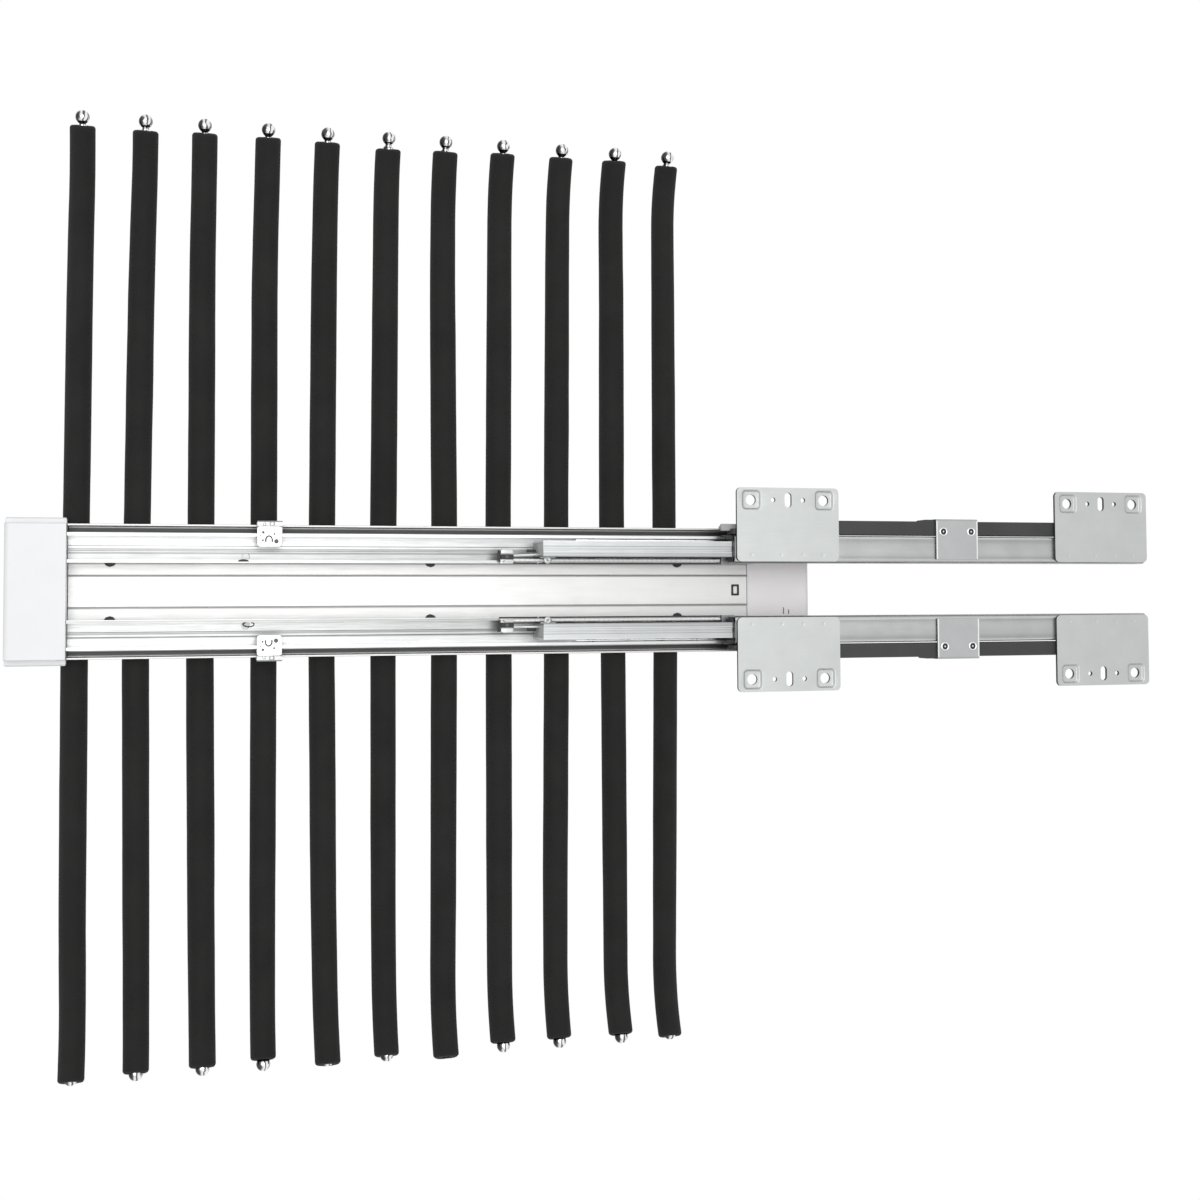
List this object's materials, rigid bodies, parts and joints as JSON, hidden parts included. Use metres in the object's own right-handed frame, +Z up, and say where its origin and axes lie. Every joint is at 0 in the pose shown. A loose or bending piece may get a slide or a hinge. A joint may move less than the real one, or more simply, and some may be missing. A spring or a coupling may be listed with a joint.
{
  "type": "telescopic hanger rack",
  "caption": "Pull-out trouser rack for under a shelf: cross arms with foam sleeves on an aluminium beam, carried by ball-bearing slides with soft close.",
  "frame": {"origin": "midway between the two slides and halfway along the fixed rails, in the plane of the mounting plates' tops, which is the shelf's underside", "axes": "+X to the rear, the way the rack closes; +Y to the left of someone who stands in front and faces the rear; +Z up"},
  "size_m": [0.7167, 0.5574, 0.048],
  "materials": {
    "satin_aluminium": "satin",
    "galvanised_steel": "satin",
    "plate_steel": "satin",
    "bright_steel": "satin",
    "chrome_steel": "polished",
    "black_foam": "matte",
    "white_plastic": "satin",
    "grey_plastic": "satin",
    "dark_plastic": "matte"
  },
  "bodies": {
    "slide_mounts": {"fixed_rail_left": "galvanised_steel", "mounting_plate_front_left": "plate_steel", "mounting_plate_rear_left": "plate_steel", "damper_housing_left": "dark_plastic", "damper_bracket_left": "plate_steel", "fixed_rail_right": "galvanised_steel", "mounting_plate_front_right": "plate_steel", "mounting_plate_rear_right": "plate_steel", "damper_housing_right": "dark_plastic", "damper_bracket_right": "plate_steel"},
    "rack": {"beam": "satin_aluminium", "front_cap": "white_plastic", "rear_cap": "grey_plastic", "hanger_rod_01": "chrome_steel", "hanger_rod_02": "chrome_steel", "hanger_rod_03": "chrome_steel", "hanger_rod_04": "chrome_steel", "hanger_rod_05": "chrome_steel", "hanger_rod_06": "chrome_steel", "hanger_rod_07": "chrome_steel", "hanger_rod_08": "chrome_steel", "hanger_rod_09": "chrome_steel", "hanger_rod_10": "chrome_steel", "hanger_rod_11": "chrome_steel", "moving_rail_left": "galvanised_steel", "foam_sleeve_left_01": "black_foam", "foam_sleeve_left_02": "black_foam", "foam_sleeve_left_03": "black_foam", "foam_sleeve_left_04": "black_foam", "foam_sleeve_left_05": "black_foam", "foam_sleeve_left_06": "black_foam", "foam_sleeve_left_07": "black_foam", "foam_sleeve_left_08": "black_foam", "foam_sleeve_left_09": "black_foam", "foam_sleeve_left_10": "black_foam", "foam_sleeve_left_11": "black_foam", "moving_rail_right": "galvanised_steel", "foam_sleeve_right_01": "black_foam", "foam_sleeve_right_02": "black_foam", "foam_sleeve_right_03": "black_foam", "foam_sleeve_right_04": "black_foam", "foam_sleeve_right_05": "black_foam", "foam_sleeve_right_06": "black_foam", "foam_sleeve_right_07": "black_foam", "foam_sleeve_right_08": "black_foam", "foam_sleeve_right_09": "black_foam", "foam_sleeve_right_10": "black_foam", "foam_sleeve_right_11": "black_foam"},
    "mid_slide_left": {"mid_rail_left": "galvanised_steel", "latch_spring_left": "bright_steel"},
    "upper_cage_left": {"ball_cage_upper_left": "bright_steel"},
    "lower_cage_left": {"ball_cage_lower_left": "bright_steel"},
    "latch_left": {"latch_left": "bright_steel"},
    "trigger_left": {"damper_trigger_left": "white_plastic"},
    "mid_slide_right": {"mid_rail_right": "galvanised_steel", "latch_spring_right": "bright_steel"},
    "upper_cage_right": {"ball_cage_upper_right": "bright_steel"},
    "lower_cage_right": {"ball_cage_lower_right": "bright_steel"},
    "latch_right": {"latch_right": "bright_steel"},
    "trigger_right": {"damper_trigger_right": "white_plastic"}
  },
  "joints": [
    {"name": "rack_slide", "type": "slide", "parent": "slide_mounts", "child": "rack", "axis": [1, 0, 0], "range_m": [0, 0.3]},
    {"name": "mid_rail_left_slide", "type": "slide", "parent": "slide_mounts", "child": "mid_slide_left", "axis": [1, 0, 0], "range_m": [0, 0.15]},
    {"name": "upper_cage_left_slide", "type": "slide", "parent": "slide_mounts", "child": "upper_cage_left", "axis": [1, 0, 0], "range_m": [0, 0.075]},
    {"name": "lower_cage_left_slide", "type": "slide", "parent": "slide_mounts", "child": "lower_cage_left", "axis": [1, 0, 0], "range_m": [0, 0.225]},
    {"name": "latch_left_slide", "type": "slide", "parent": "mid_slide_left", "child": "latch_left", "axis": [1, 0, 0], "range_m": [0, 0.015], "stiffness_N_per_m": 60, "deforming": ["latch_spring_left"]},
    {"name": "trigger_left_slide", "type": "slide", "parent": "slide_mounts", "child": "trigger_left", "axis": [1, 0, 0], "range_m": [0, 0.025]},
    {"name": "mid_rail_right_slide", "type": "slide", "parent": "slide_mounts", "child": "mid_slide_right", "axis": [1, 0, 0], "range_m": [0, 0.15]},
    {"name": "upper_cage_right_slide", "type": "slide", "parent": "slide_mounts", "child": "upper_cage_right", "axis": [1, 0, 0], "range_m": [0, 0.075]},
    {"name": "lower_cage_right_slide", "type": "slide", "parent": "slide_mounts", "child": "lower_cage_right", "axis": [1, 0, 0], "range_m": [0, 0.225]},
    {"name": "latch_right_slide", "type": "slide", "parent": "mid_slide_right", "child": "latch_right", "axis": [1, 0, 0], "range_m": [0, 0.015], "stiffness_N_per_m": 60, "deforming": ["latch_spring_right"]},
    {"name": "trigger_right_slide", "type": "slide", "parent": "slide_mounts", "child": "trigger_right", "axis": [1, 0, 0], "range_m": [-0.025, 0]}
  ],
  "couplings": [
    {"joint": "mid_rail_left_slide", "follows": "rack_slide", "ratio": 0.5},
    {"joint": "upper_cage_left_slide", "follows": "rack_slide", "ratio": 0.25},
    {"joint": "lower_cage_left_slide", "follows": "rack_slide", "ratio": 0.75},
    {"joint": "mid_rail_right_slide", "follows": "rack_slide", "ratio": 0.5},
    {"joint": "upper_cage_right_slide", "follows": "rack_slide", "ratio": 0.25},
    {"joint": "lower_cage_right_slide", "follows": "rack_slide", "ratio": 0.75}
  ]
}
